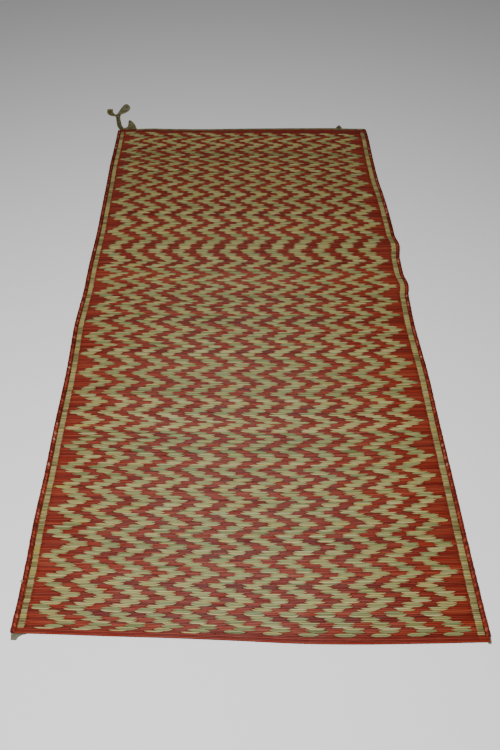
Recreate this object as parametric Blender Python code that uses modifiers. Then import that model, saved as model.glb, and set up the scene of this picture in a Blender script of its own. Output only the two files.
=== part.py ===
"""Grass floor mat lying flat: a woven panel, its two plaited side edges, the tapes under its ends, its ties.

Metres, +Z up. +X runs across the mat and +Y from its near end to its far end. The origin is on the floor, at
the middle of everything but the tie. The tables are in millimetres.
"""
import math

import bmesh
import bpy
import numpy as np
from mathutils import Matrix, Vector

MM = 0.001
GAP = 0.3  # between pieces that touch

# The whole mat's nominal size, edges included, and its pieces across the thickness
MAT_WIDTH = 904.0
MAT_LENGTH = 1798.0
PANEL_THICK = 2.2
EDGE_WIDTH = 11.0
EDGE_THICK = 3.6
TAPE_THICK = 0.8
TAPE_WIDTH = 14.0
END_LIFT = TAPE_THICK + GAP  # how far the ends lie above the floor, on their tapes
END_FLAT = 18.0  # from the end, the length that lies on the tape
END_RAMP = 50.0  # over which the panel comes down to the floor

# The outline, edges included: x of the two sides at each y, and y of the panel's two ends at each x
LEFT_SIDE = (
    # y, x
    (-915, -452.2), (-843, -450.5), (-770, -449.8), (-650, -452.0), (-542, -450.9), (-420, -452.0),
    (-220, -451.8), (-150, -454.2), (-95, -456.2), (-40, -455.0), (50, -451.3), (140, -451.9),
    (223, -450.8), (310, -449.2), (420, -450.2), (590, -452.3), (665, -453.6), (785, -452.1), (900, -451.6),
)
RIGHT_SIDE = (
    # y, x
    (-915, 451.4), (-700, 451.6), (-600, 452.3), (-400, 453.2), (-254, 454.2), (-180, 452.2), (-90, 450.3),
    (0, 452.8), (120, 453.2), (200, 454.4), (320, 455.6), (404, 454.4), (489, 451.3), (560, 446.7),
    (640, 445.2), (722, 445.4), (824, 446.8), (900, 444.3),
)
FAR_END = (
    # x, y
    (-460, 891.4), (-426, 892.0), (-400, 893.4), (-372, 897.0), (-333, 899.0), (-279, 896.0), (-224, 893.6),
    (-143, 891.4), (-40, 892.8), (266, 892.6), (321, 892.0), (375, 888.4), (460, 884.8),
)
NEAR_END = (
    # x, y
    (-460, -883.6), (-383, -886.4), (-270, -891.7), (-129, -898.2), (-17, -904.6), (95, -911.3),
    (206, -914.2), (318, -914.4), (460, -913.4),
)
# The right side's two ripples: where, how far out and up the side goes, half its length, the reach inwards
RIPPLES = (
    # y, out, up, half length, reach
    (230, 6.5, 3.0, 58, 110),
    (60, 6.2, 2.5, 50, 90),
)
# The panel's grid: its rows near each end and its columns near the right side, and how many lie between
END_ROWS = (0, 9, END_FLAT, 30, 42, 56, 70)
MIDDLE_ROWS = 82
RIGHT_COLUMNS = (0, 14, 32, 55, 82, 115)
MIDDLE_COLUMNS = 6
EDGE_RINGS = 92

# The tapes under the ends: how far each reaches past the panel or stays inside it, and its loose ends
FAR_TAPE_PAST = 8.0
FAR_TAPE_ENDS = (-446.0, 440.0)
NEAR_TAPE_INSIDE = 1.5
NEAR_TAPE_ENDS = (-416.0, 438.0)
TAPE_POINTS = 46
NEAR_TAB = (
    # x, y: the tape's end, turned out past the near-left corner
    (-420.0, -886.6), (-427.0, -888.2), (-432.0, -892.0), (-435.0, -897.4), (-446.5, -897.0),
    (-449.0, -885.0),
)
NEAR_FOLD_PAST = 3.4  # how far the folded end reaches past the near end
NEAR_FOLD = (
    # y from its near tip, width, thick
    (0.0, 5.3, 2.2), (1.9, 7.7, 2.65), (3.8, 8.6, 2.8), (6.7, 8.6, 2.8), (9.6, 8.6, 2.8), (11.5, 8.3, 2.75),
)

# The tie at the far-left corner, lying on the floor: a gathered stalk, a knot, a loop whose two sides lie on
# each other, as one solid, and a cut end. Each stretch meets the knot squarely, at a place given across it
KNOT_AT = (-463.5, 997.0)
KNOT_SIZE = (18.0, 12.0, 6.0)  # across, along, high
KNOT_TURN = math.radians(-6)
KNOT_TAPER = 0.72  # how far out on its rounded swell the knot is cut off
KNOT_RINGS = 7
SQUARE_RUN = 4.0  # how far a stretch runs straight on from what it meets
TIE_STEP = 3.0  # between the rings of a stretch
STALK = (
    # x, y, width, thick: from the far tape up to the knot
    (-440.6, 905.0, 18.4, 2.4), (-443.9, 912.0, 17.8, 2.8), (-448.3, 922.0, 17.0, 3.0),
    (-452.4, 936.0, 16.8, 3.1), (-455.8, 953.0, 16.2, 3.2), (-459.0, 968.0, 15.4, 3.2),
    (-461.0, 980.0, 15.6, 3.2),
)
STALK_END = (1.5, 15.5, 3.4)  # across the knot, width, thick
LOOP_START = (2.0, 14.0, 3.4)
LOOP = (
    # x, y, width, thick: from the knot to its round tip
    (-456.6, 1012.6, 20.0, 3.3), (-452.4, 1020.5, 26.0, 3.2), (-447.4, 1028.3, 31.5, 3.2),
    (-443.2, 1038.5, 35.6, 3.2), (-441.4, 1049.0, 34.6, 3.2), (-440.6, 1058.0, 31.0, 3.2),
    (-440.6, 1066.0, 25.4, 3.2), (-441.0, 1073.5, 18.0, 3.0), (-441.6, 1080.6, 6.0, 2.6),
)
CUT_END = (
    # x, y, width, thick: from the knot's left side to the tape's cut end
    (-482.0, 1002.4, 17.5, 2.6), (-489.4, 1009.6, 21.0, 2.2), (-495.0, 1019.4, 22.0, 1.8),
    (-497.4, 1031.0, 22.0, 1.6), (-497.9, 1045.6, 20.6, 1.6),
)
CUT_END_START = (12.0, 3.2)  # width, thick
FLAP = (
    # x, y: the tie's other corner, which starts along the far tape, from beside the stalk round its point
    (-430.2, 909.0), (-424.4, 911.0), (-419.4, 914.5), (-418.8, 930.0), (-419.9, 947.0), (-420.0, 961.0),
    (-418.0, 964.8), (-414.8, 963.6), (-407.2, 956.0), (-398.4, 942.0), (-392.4, 928.0), (-387.8, 914.0),
    (-384.6, 905.0),
)
FLAP_BASE_POINTS = 10
# The small tab of the other tie, over the far end: y from the panel's end, height, width, thickness
FAR_TAB_X = 348.0
FAR_TAB_LEAN = 5.0  # to the right, from its root to its point
FAR_TAB_RINGS = 18
FAR_TAB = (
    # y, z, width, thick
    (-11.0, 4.2, 17.0, 1.0), (-4.0, 4.3, 20.0, 1.2), (1.5, 4.1, 22.0, 1.3), (5.5, 2.9, 22.0, 1.4),
    (10.0, 1.9, 20.0, 1.4), (15.0, 1.5, 14.0, 1.4), (20.0, 1.2, 7.0, 1.3), (23.5, 0.9, 2.4, 1.0),
)

CROWN_SHARE = 0.8  # how high a strip's rounded sides come, as a share of its middle
SHARP_DEGREES = 40
MERGE_MM = 0.01

GRASS_COLOUR = (0.30, 0.16, 0.075)
EDGE_COLOUR = (0.26, 0.035, 0.02)
TAPE_COLOUR = (0.11, 0.095, 0.045)


def tidy_scene():
    """Removes what is in the scene and returns the object's own collection."""
    for each in list(bpy.data.objects):
        bpy.data.objects.remove(each, do_unlink=True)
    collection = bpy.data.collections.new("grass_floor_mat")
    bpy.context.scene.collection.children.link(collection)
    return collection


def material(name, colour, roughness):
    """A Principled material of one colour."""
    made = bpy.data.materials.new(name)
    made.use_nodes = True
    shader = made.node_tree.nodes["Principled BSDF"]
    shader.inputs["Base Color"].default_value = (*colour, 1.0)
    shader.inputs["Roughness"].default_value = roughness
    shader.inputs["Metallic"].default_value = 0.0
    return made


def smooth(stations, at):
    """The smooth curve through a table's rows, read at the given places; its first column is where."""
    table = np.asarray(stations, float)
    where, values = table[:, 0], table[:, 1:]
    slopes = np.gradient(values, where, axis=0)
    at = np.clip(np.atleast_1d(np.asarray(at, float)), where[0], where[-1])
    low = np.clip(np.searchsorted(where, at, side="right") - 1, 0, len(where) - 2)
    step = (where[low + 1] - where[low])[:, None]
    t = (at[:, None] - where[low][:, None]) / step
    start, end = values[low], values[low + 1]
    leave, arrive = slopes[low] * step, slopes[low + 1] * step
    return (
        (2 * t**3 - 3 * t**2 + 1) * start
        + (t**3 - 2 * t**2 + t) * leave
        + (3 * t**2 - 2 * t**3) * end
        + (t**3 - t**2) * arrive
    )


def ripples(y):
    """How far the right side goes out at each y, and how far up."""
    out, up = np.zeros_like(y), np.zeros_like(y)
    for centre, outward, upward, half, _ in RIPPLES:
        wave = np.cos(np.clip((y - centre) / half, -1, 1) * math.pi / 2) ** 2
        out, up = out + outward * wave, up + upward * wave
    return out, up


def left_x(y):
    return smooth(LEFT_SIDE, y)[:, 0]


def right_x(y):
    return smooth(RIGHT_SIDE, y)[:, 0] + ripples(np.atleast_1d(y))[0]


def far_y(x):
    return smooth(FAR_END, x)[:, 0]


def near_y(x):
    return smooth(NEAR_END, x)[:, 0]


def ease(t):
    """From 0 to 1 with level ends."""
    t = np.clip(t, 0, 1)
    return t * t * (3 - 2 * t)


def lift(x, y):
    """How high the mat lies at a point: on its tapes at the ends, and in the right side's ripples."""
    from_end = np.minimum(far_y(x) - y, y - near_y(x))
    height = END_LIFT * (1 - ease((from_end - END_FLAT) / END_RAMP))
    inwards = right_x(y) - x
    for centre, _, upward, half, reach in RIPPLES:
        wave = np.cos(np.clip((y - centre) / half, -1, 1) * math.pi / 2) ** 2
        height = height + upward * wave * (1 - ease(inwards / reach))
    return height


def panel_point(across, along):
    """The panel's point at these shares of its width and length, between its four edges."""
    inset = EDGE_WIDTH + GAP
    x = (across - 0.5) * MAT_WIDTH
    for _ in range(4):
        y = near_y(x) + along * (far_y(x) - near_y(x))
        left, right = left_x(y) + inset, right_x(y) - inset
        x = left + across * (right - left)
    return x, y


def add(collection, name, mesh, finish):
    """Puts a mesh in the collection as a named object, shaded smooth but for its sharp edges."""
    made = bpy.data.objects.new(name, mesh)
    collection.objects.link(made)
    mesh.materials.clear()
    mesh.materials.append(finish)
    mesh.shade_smooth()
    mesh.set_sharp_from_angle(angle=math.radians(SHARP_DEGREES))
    return made


def panel(collection, finish):
    """The woven panel: a grid drawn to the mat's outline, lifted at ends and ripples, with its thickness."""
    ends, from_right = np.array(END_ROWS), np.array(RIGHT_COLUMNS)
    width = MAT_WIDTH - 2 * (EDGE_WIDTH + GAP)
    middle_rows = np.linspace(ends[-1], MAT_LENGTH - ends[-1], MIDDLE_ROWS + 2)[1:-1]
    middle_columns = np.linspace(0, width - from_right[-1], MIDDLE_COLUMNS + 2)[:-1]
    along_mm = np.concatenate([ends, middle_rows, MAT_LENGTH - ends[::-1]])
    across_mm = np.concatenate([middle_columns, width - from_right[::-1]])
    grid = bmesh.new()
    columns, rows = len(across_mm), len(along_mm)
    bmesh.ops.create_grid(grid, x_segments=columns - 1, y_segments=rows - 1, size=1)
    for vertex in grid.verts:
        column = round((vertex.co.x + 1) / 2 * (columns - 1))
        row = round((vertex.co.y + 1) / 2 * (rows - 1))
        x, y = panel_point(across_mm[column] / across_mm[-1], along_mm[row] / along_mm[-1])
        vertex.co = Vector((x[0], y[0], lift(x, y)[0])) * MM
    mesh = bpy.data.meshes.new("mat")
    grid.to_mesh(mesh)
    grid.free()
    made = add(collection, "mat", mesh, finish)
    thickness = made.modifiers.new("thickness", "SOLIDIFY")
    thickness.thickness = PANEL_THICK * MM
    thickness.offset = 1
    return made


def section(width, thick):
    """A strip's section: a flat oblong with rounded sides, as offsets across and up, counterclockwise."""
    side = min(width, thick) / 2
    low, high, crown = -thick / 2, CROWN_SHARE * thick / 2, thick / 2
    right = [(width / 2 - side, low), (width / 2, 0), (width / 2 - side, high)]
    left = [(-across, up) for across, up in right[::-1]]
    return [*right, (0, crown), *left, (0, low)]


def strip(collection, name, path, widths, thicks, finish):
    """A closed strip of varying width and thickness along a path: joined rings, with flat ends."""
    path, built = np.asarray(path, float), bmesh.new()
    run = np.gradient(path, axis=0)
    run /= np.linalg.norm(run, axis=1)[:, None]
    rings = []
    for centre, forward, width, thick in zip(path, run, widths, thicks):
        side = np.cross(forward, (0, 0, 1))
        side /= np.linalg.norm(side)
        up = np.cross(side, forward)
        points = [centre + across * side + rise * up for across, rise in section(width, thick)]
        rings.append([built.verts.new(Vector(p) * MM) for p in points])
    for a, b in zip(rings, rings[1:]):
        for i in range(len(a)):
            j = (i + 1) % len(a)
            built.faces.new((a[i], a[j], b[j], b[i]))
    built.faces.new(rings[0][::-1])
    built.faces.new(rings[-1])
    bmesh.ops.recalc_face_normals(built, faces=built.faces)
    mesh = bpy.data.meshes.new(name)
    built.to_mesh(mesh)
    built.free()
    return add(collection, name, mesh, finish)


def side_edge(collection, name, x_of, towards_panel, start_short, finish):
    """A plaited side edge: a flat round-sided strip beside the panel, as long as the mat."""
    middle = towards_panel * EDGE_WIDTH / 2
    corner = x_of(np.array([0.0])) + middle
    y = np.linspace(near_y(corner)[0] + start_short, far_y(corner)[0], EDGE_RINGS)
    x = x_of(y) + middle
    path = np.column_stack([x, y, lift(x, y) + EDGE_THICK / 2])
    return strip(collection, name, path, [EDGE_WIDTH] * EDGE_RINGS, [EDGE_THICK] * EDGE_RINGS, finish)


def flat_piece(collection, name, outline, thick, finish):
    """A flat piece of tape on the floor: a filled outline with its thickness."""
    curve = bpy.data.curves.new(name, "CURVE")
    curve.dimensions = "2D"
    curve.fill_mode = "BOTH"
    curve.extrude = thick / 2 * MM
    spline = curve.splines.new("POLY")
    spline.points.add(len(outline) - 1)
    for point, (x, y) in zip(spline.points, outline):
        point.co = (x * MM, y * MM, 0, 1)
    spline.use_cyclic_u = True
    drawn = bpy.data.objects.new(name + "_outline", curve)
    collection.objects.link(drawn)
    drawn.location.z = thick / 2 * MM
    bpy.context.view_layer.update()
    seen = drawn.evaluated_get(bpy.context.evaluated_depsgraph_get())
    mesh = bpy.data.meshes.new_from_object(seen)
    mesh.transform(drawn.matrix_world)
    bpy.data.objects.remove(drawn, do_unlink=True)
    closed = bmesh.new()
    closed.from_mesh(mesh)
    bmesh.ops.remove_doubles(closed, verts=closed.verts, dist=MERGE_MM * MM)
    bmesh.ops.recalc_face_normals(closed, faces=closed.faces)
    closed.to_mesh(mesh)
    closed.free()
    mesh.name = name
    return add(collection, name, mesh, finish)


def far_tape(collection, finish):
    """The tape under the far end, which shows past it."""
    x = np.linspace(*FAR_TAPE_ENDS, TAPE_POINTS)
    outer = far_y(x) + FAR_TAPE_PAST
    outline = [*zip(x, outer - TAPE_WIDTH), *zip(x[::-1], outer[::-1])]
    return flat_piece(collection, "tape_far", outline, TAPE_THICK, finish)


def near_tape(collection, finish):
    """The tape under the near end, turned out at the near-left corner as a tab."""
    x = np.linspace(*NEAR_TAPE_ENDS, TAPE_POINTS)
    outer = near_y(x) + NEAR_TAPE_INSIDE
    corner_x = NEAR_TAB[-1][0]
    corner = (corner_x, near_y(corner_x)[0] + NEAR_TAPE_INSIDE + TAPE_WIDTH)
    outline = [*zip(x, outer), *zip(x[::-1], outer[::-1] + TAPE_WIDTH), corner, *NEAR_TAB[::-1]]
    return flat_piece(collection, "tape_near", outline, TAPE_THICK, finish)


def near_fold(collection, finish):
    """The near tape's other end, folded up in the near-right corner in line with the side edge."""
    from_tip, width, thick = np.array(NEAR_FOLD).T
    x = right_x(near_y(MAT_WIDTH / 2))[0] - EDGE_WIDTH / 2
    y = near_y(x)[0] - NEAR_FOLD_PAST + from_tip
    path = np.column_stack([np.full_like(y, x), y, np.full_like(y, thick.max() / 2)])
    return strip(collection, "tape_end_near", path, width, thick, finish)


def along(table):
    """A route's rows read from a smooth curve through them: places, widths and thicknesses."""
    table = np.asarray(table, float)
    run = np.concatenate([[0], np.cumsum(np.linalg.norm(np.diff(table[:, :2], axis=0), axis=1))])
    return smooth(np.column_stack([run, table]), np.linspace(0, run[-1], int(run[-1] / TIE_STEP) + 1))


def by_knot(across, forward):
    """A point at these distances from the knot's middle, in its own turned frame."""
    cos, sin = math.cos(KNOT_TURN), math.sin(KNOT_TURN)
    return KNOT_AT[0] + across * cos - forward * sin, KNOT_AT[1] + across * sin + forward * cos


def square_to_knot(across, side, width, thick):
    """The last two rows of a stretch that meets the knot in front (side 1) or behind (side -1)."""
    reach = KNOT_SIZE[1] / 2 + GAP
    return [
        (*by_knot(across, side * (reach + SQUARE_RUN)), width, thick),
        (*by_knot(across, side * reach), width, thick),
    ]


def tie_strip(collection, name, table, finish):
    """One stretch of the tie's tape on the floor."""
    rows = along(table)
    path = np.column_stack([rows[:, 0], rows[:, 1], rows[:, 3] / 2])
    return strip(collection, name, path, rows[:, 2], rows[:, 3], finish)


def stalk(collection, finish):
    """The tie's gathered stalk, from the far tape to the knot."""
    x, _, width, thick = STALK[0]
    root = (x, far_y(x + width / 2)[0] + FAR_TAPE_PAST + 2 * GAP, width, thick)
    across, *size = STALK_END
    tie_strip(collection, "tie_stalk", [root, *STALK, *square_to_knot(across, -1, *size)], finish)


def loop(collection, finish):
    """The tie's closed loop, as the outer shape of its two sides, from the knot to its tip."""
    across, *size = LOOP_START
    tie_strip(collection, "tie_loop", [*square_to_knot(across, 1, *size)[::-1], *LOOP], finish)


def cut_end(collection, finish):
    """The tie's short free end, from the knot's left side."""
    reach = KNOT_SIZE[0] / 2 + GAP
    out = [(*by_knot(-reach - further, 0), *CUT_END_START) for further in (0, SQUARE_RUN)]
    tie_strip(collection, "tie_end", [*out, *CUT_END], finish)


def knot(collection, finish):
    """The tie's knot: a low rounded lump between its stalk, its loop and its cut end."""
    across, deep, high = KNOT_SIZE
    steps = np.linspace(-1, 1, KNOT_RINGS)
    swell = np.sqrt(1 - (KNOT_TAPER * steps) ** 2)
    way = np.array([math.cos(KNOT_TURN), math.sin(KNOT_TURN), 0.0])
    centre = np.array([*KNOT_AT, high / 2])
    path = centre + steps[:, None] * across / 2 * way
    return strip(collection, "tie_knot", path, deep * swell, high * swell, finish)


def far_tab(collection, finish):
    """The other tie's tab, sewn over the far end and down to the floor behind it."""
    past_end = np.linspace(FAR_TAB[0][0], FAR_TAB[-1][0], FAR_TAB_RINGS)
    height, width, thick = smooth(FAR_TAB, past_end).T
    x = FAR_TAB_X + FAR_TAB_LEAN * np.linspace(-0.5, 0.5, len(past_end))
    path = np.column_stack([x, far_y(FAR_TAB_X)[0] + past_end, height])
    return strip(collection, "tab_far", path, width, thick, finish)


def flap(collection, finish):
    """The tie's other corner, flat on the floor against the far tape."""
    base_x = np.linspace(FLAP[-1][0], FLAP[0][0], FLAP_BASE_POINTS)
    base = zip(base_x, far_y(base_x) + FAR_TAPE_PAST + 2 * GAP)
    return flat_piece(collection, "tie_flap", [*FLAP, *base], TAPE_THICK, finish)


def centre_on_floor(objects, tie_names):
    """Moves everything so that the middle of all but the tie is over the origin."""
    bpy.context.view_layer.update()
    depsgraph = bpy.context.evaluated_depsgraph_get()
    points = []
    for each in objects:
        if each.name not in tie_names:
            seen = each.evaluated_get(depsgraph)
            points += [v.co.copy() for v in seen.data.vertices]
    low = Vector(min(p[i] for p in points) for i in range(3))
    high = Vector(max(p[i] for p in points) for i in range(3))
    middle = (low + high) / 2
    for each in objects:
        each.data.transform(Matrix.Translation((-middle.x, -middle.y, -low.z)))


def build():
    collection = tidy_scene()
    grass = material("woven_grass", GRASS_COLOUR, 0.75)
    edge = material("plaited_edge", EDGE_COLOUR, 0.7)
    cloth = material("olive_tape", TAPE_COLOUR, 0.9)
    panel(collection, grass)
    side_edge(collection, "edge_left", left_x, 1, 0, edge)
    side_edge(collection, "edge_right", right_x, -1, NEAR_FOLD[-1][0] - NEAR_FOLD_PAST + GAP, edge)
    far_tape(collection, cloth)
    near_tape(collection, cloth)
    near_fold(collection, cloth)
    far_tab(collection, cloth)
    stalk(collection, cloth)
    knot(collection, cloth)
    loop(collection, cloth)
    cut_end(collection, cloth)
    flap(collection, cloth)
    ties = ("tie_stalk", "tie_loop", "tie_end", "tie_knot", "tie_flap")
    centre_on_floor(list(collection.objects), ties)


build()
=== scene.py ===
"""Grass floor mat: stems woven in zigzags, plaited side edges, cotton tapes under the ends and a knotted tie.

Metres, +Z up, in the part's frame. The route's tables are in millimetres, as the part draws them.
"""
import math

import bmesh
import bpy
import numpy as np
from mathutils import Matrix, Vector, geometry, noise


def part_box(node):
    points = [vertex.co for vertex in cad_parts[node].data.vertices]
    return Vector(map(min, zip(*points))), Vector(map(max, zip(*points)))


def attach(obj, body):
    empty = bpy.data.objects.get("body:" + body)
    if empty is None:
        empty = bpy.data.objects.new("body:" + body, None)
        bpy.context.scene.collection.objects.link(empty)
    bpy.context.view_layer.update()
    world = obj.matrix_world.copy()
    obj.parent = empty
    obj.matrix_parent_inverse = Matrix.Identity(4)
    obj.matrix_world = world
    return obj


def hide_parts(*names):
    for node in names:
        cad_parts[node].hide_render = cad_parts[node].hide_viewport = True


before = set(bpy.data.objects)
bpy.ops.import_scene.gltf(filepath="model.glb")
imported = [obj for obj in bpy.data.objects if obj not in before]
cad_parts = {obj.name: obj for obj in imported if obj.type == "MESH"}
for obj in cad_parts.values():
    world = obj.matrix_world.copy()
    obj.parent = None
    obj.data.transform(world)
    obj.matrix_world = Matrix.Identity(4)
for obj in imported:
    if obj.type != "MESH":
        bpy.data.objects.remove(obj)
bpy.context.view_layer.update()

MM = 0.001
SEED = 11

# The route, as in the part: sizes, the two sides' x at each y, the panel ends' y at each x, and the ripples
GAP = 0.3
MAT_WIDTH = 904.0
MAT_LENGTH = 1798.0
PANEL_THICK = 2.2
EDGE_WIDTH = 11.0
TAPE_THICK = 0.8
TAPE_WIDTH = 14.0
END_LIFT = TAPE_THICK + GAP
END_FLAT = 18.0
END_RAMP = 50.0
LEFT_SIDE = (
    # y, x
    (-915, -452.2), (-843, -450.5), (-770, -449.8), (-650, -452.0), (-542, -450.9), (-420, -452.0),
    (-220, -451.8), (-150, -454.2), (-95, -456.2), (-40, -455.0), (50, -451.3), (140, -451.9),
    (223, -450.8), (310, -449.2), (420, -450.2), (590, -452.3), (665, -453.6), (785, -452.1), (900, -451.6),
)
RIGHT_SIDE = (
    # y, x
    (-915, 451.4), (-700, 451.6), (-600, 452.3), (-400, 453.2), (-254, 454.2), (-180, 452.2), (-90, 450.3),
    (0, 452.8), (120, 453.2), (200, 454.4), (320, 455.6), (404, 454.4), (489, 451.3), (560, 446.7),
    (640, 445.2), (722, 445.4), (824, 446.8), (900, 444.3),
)
FAR_END = (
    # x, y
    (-460, 891.4), (-426, 892.0), (-400, 893.4), (-372, 897.0), (-333, 899.0), (-279, 896.0), (-224, 893.6),
    (-143, 891.4), (-40, 892.8), (266, 892.6), (321, 892.0), (375, 888.4), (460, 884.8),
)
NEAR_END = (
    # x, y
    (-460, -883.6), (-383, -886.4), (-270, -891.7), (-129, -898.2), (-17, -904.6), (95, -911.3),
    (206, -914.2), (318, -914.4), (460, -913.4),
)
RIPPLES = (
    # y, out, up, half length, reach
    (230, 6.5, 3.0, 58, 110),
    (60, 6.2, 2.5, 50, 90),
)

# How far the stems bow beyond straight, across the panel from its left side to its right
BOW_SHARES = (0.0, 0.25, 0.5, 0.75, 1.0)
BOW = (
    # y, at each share of the width
    (-905, 0, 0, 0, 0, 0), (-850, 0, -1.5, 0, 4.5, 5), (-790, 1, -2, -1, 5, 8), (-730, 0, -4, -1, 5.5, 10),
    (-610, -2, -4, -1, 7, 15), (-550, -3, -4, -1, 5.5, 13), (-490, -2, -2.5, 0, 5, 13),
    (-430, -2, -2, -1, 3, 9), (-370, -2, -2, 0, 2.5, 6), (-250, -2, -1.5, 0, 2.5, 8),
    (-190, -2, -2, 0, 3, 8), (-130, 2, 1.5, 0, 2, 5), (-70, 2, 0, 0, 0.5, 3), (-10, -2, 0, -2, 0, 0),
    (50, 0, 0, 0, 0, 3), (110, 0, 0, -2, -1.5, 2), (170, -7, -4, -4, -4, -1), (230, -7, -4, -4, 0, 5),
    (290, -9, -2, 0, 2, 3), (350, -7, 0, 0, 0, -2), (410, -5, -1, -2, -4.5, -6),
    (470, -7, -1, -2, -4.5, -7), (530, -9, -1, -2, -4, -5), (590, -6, 1, -2, -6.5, -9),
    (650, 0, 2, -2, -6, -7), (710, 0, 0, -2, -6.5, -9), (770, -5, -1, -2, -7, -11),
    (830, -5, -1, -2, -5.5, -7), (893, 0, 0, 0, 0, 0),
)

# The weave: its stems, the red and natural blocks that they make, and the plain parts at the sides and ends
RIBS = 573
BLOCK = 17.1
BANDS = 12
REPEAT = 4
LEFT_STRIPE = 12.7
RIGHT_STRIPE = 12.6
LEFT_MARGIN = 7.0
RAGGED = 2.4
STRIPE_RAGGED = 0.35
RIB_UNEVEN = 0.16
OVERLAP = 1.18
PLUMP = {"natural": 1.3, "red": 1.45}
BUNDLE = 3
BUNDLE_FIRST = 0.8
BAND_TUCK = 7.0
BAND_PLUMP = 1.6
BAND_OVERLAP = 1.03

# The thin layer inside the weave, dark as painted shade between the stems, the threads across it, and the
# stitches along the stripes, whose pitch and size are in metres
GROUND_STEPS = (25, 61)
GROUND_THICK = 0.2
WARP_ENDS = (0.002, 0.998)
WARP_STEPS = 61
WARP_RAISED = 0.15
WARP_RADIUS = 0.4
STITCH_ENDS = (0.012, 0.99)
STITCH_STEPS = 200
STITCH_SUNK = 0.15
STITCH = {
    "Pitch": 0.0063, "Size": (0.0007, 0.0044, 0.0008), "Slant": 0.0, "Uneven": 0.15, "Seed": 2, "Sides": 5,
    "Rings": 4,
}

# How a float ends: where it starts to dive, how narrow it gets, how far it steps aside and how deep it is
STEM = {"Climb": 0.25, "Squeeze": 0.6, "Sidestep": 0.24, "Sink": 0.85}
STRIPE_STEM = {"Climb": 0.12, "Squeeze": 0.15, "Sidestep": 0.05, "Sink": 0.7}
BAND_STEM = {"Climb": 0.25, "Squeeze": 0.0, "Sidestep": 0.0, "Sink": 0.0}

# The range of tones of the stems, the stripes' bundles and the end bands, and how far their floats differ
STEM_TONES = (0.1, 0.9)
BUNDLE_TONES = (0.08, 0.98)
BAND_TONES = (0.1, 0.8)
FLOAT_TONES = 0.1
STRIPE_FLOAT_TONES = 0.16
BAND_FLOAT_TONES = 0.05

# The pale sheen on the stems, painted: a painted reflection of the light down the mat's middle
SHEEN_X = -30.0
SHEEN_HALF = 470.0
SHEEN_FROM = 700.0
SHEEN_LENGTH = 1400.0
SHEEN_LEAST = 0.3
SHEEN_EDGE = 60.0

# Where the zigzag turns along the mat's middle, at its left and right points by turns, how many blocks apart
# these are, and the slow turn's own steps of y and blocks
TURNS = (
    872, 842, 819, 792, 758, 728, 702, 678, 654, 627, 598, 566, 536, 501, 463, 430, 390, 349, 312, 275,
    217, 171, 143, 111, 85, 60, 29, 3, -21, -51, -80, -109, -137, -167, -194, -229, -260, -289, -321,
    -351, -382, -406, -430, -452, -478, -508, -536, -560, -586, -616, -640, -668, -694, -720, -749,
    -776, -800, -829, -856, -882, -907,
)
TURN_BLOCKS = 3
SLOW_TURN = ((260, 2), (240, 1))

# The plain bands at the two ends: their width at each share of the panel's width
NEAR_BAND = (
    # share, width
    (0, 9.5), (0.4, 10), (0.48, 13), (1, 13),
)
FAR_BAND = (
    # share, width
    (0, 12.5), (0.075, 13), (0.1, 18.5), (0.2, 23.5), (0.3, 22.5), (0.55, 24), (0.65, 29),
    (0.96, 29), (0.985, 17), (1, 17),
)

# A stem's end that has come out over the left plait: its middle, length, width and thickness, and its turn
LOOSE_TIP = (-448.6, -784.6, 2.9, 5.6, 3.8, 2.2)
LOOSE_TIP_TURN = (0.0, 0.12, 0.1)
LOOSE_TIP_TONE = 0.8

# A plait: its bed and its strands, a row of bright lobes between two darker ones. The inner strand's inset is
# each side's own, as it covers the ends of the panel's stems
SIDE_STEPS = 200
BED_HEIGHT = 1.3
BED_THICK = 2.4
BED_NARROWER = 1.4
SLANT = 0.35
UNEVEN = 0.15
LEFT_INNER = 11.5
RIGHT_INNER = 10.2
LOBE_RINGS = 5
STRANDS = (
    # is bright, inset, height, pitch, lobe's size, share of the slant, sides, seed
    (True, 6.6, 1.9, 8.6, (6.2, 11.2, 3.2), 1, 8, 3),
    (False, 2.2, 1.55, 7.8, (4, 16, 2.6), -0.2, 8, 5),
    (False, None, 1.75, 10, (3.7, 13.6, 2.7), 0, 6, 8),
)

# The tapes and the tie, nearly as in the part. UNDER_END is a tape's height, width and thickness under an end
UNDER_END = (TAPE_THICK / 2, TAPE_WIDTH, TAPE_THICK - 0.05)
TAPE_STEPS = 150
RAGGED_RATE = 0.03
FAR_TAPE_RAGGED = 0.3
FAR_TAPE_PAST = 8.0
FAR_TAPE_ENDS = (-446.0, 440.0)
FAR_HEM_WIDTH = 9.0
FAR_HEM_HEIGHT = 3.1
FAR_HEM_STEP = 6
FAR_HEM_RAGGED = 0.4
FAR_HEM = (
    # name, ends, past the panel's end
    ("far_hem_tape", (-386, 436), 3),
    ("far_hem_stems", (-441, -386), 4.5),
)
NEAR_TAPE_INSIDE = 1.5
NEAR_TAPE_ENDS = (-449.0, 438.0)
NEAR_TAB = (
    # x, y
    (-418, -878), (-420, -886.6), (-428.2, -888.2), (-434, -892), (-436.6, -897.4),
    (-446.5, -897), (-449, -885), (-448, -878),
)
NEAR_FOLD_PAST = 3.4
NEAR_FOLD = (
    # y from its near tip, width, thick
    (0, 5.3, 2.2), (1.9, 7.7, 2.65), (3.8, 8.6, 2.8), (6.7, 8.6, 2.8), (9.6, 8.6, 2.8), (11.5, 8.3, 2.75),
)
KNOT_AT = (-463.5, 997.0)
KNOT_SIZE = (18.0, 12.0, 6.0)
KNOT_TURN = math.radians(-6)

# The knot's lump under its bands: its size, its flat underside and its rise, as shares of the knot's size
LUMP_SEGMENTS = (28, 16)
LUMP_SHARE = 0.9
LUMP_FLOOR = -0.43
LUMP_RAISED = 0.44
KNOT_BAND_THICK = 1.3
KNOT_BAND_STEPS = 25

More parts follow.
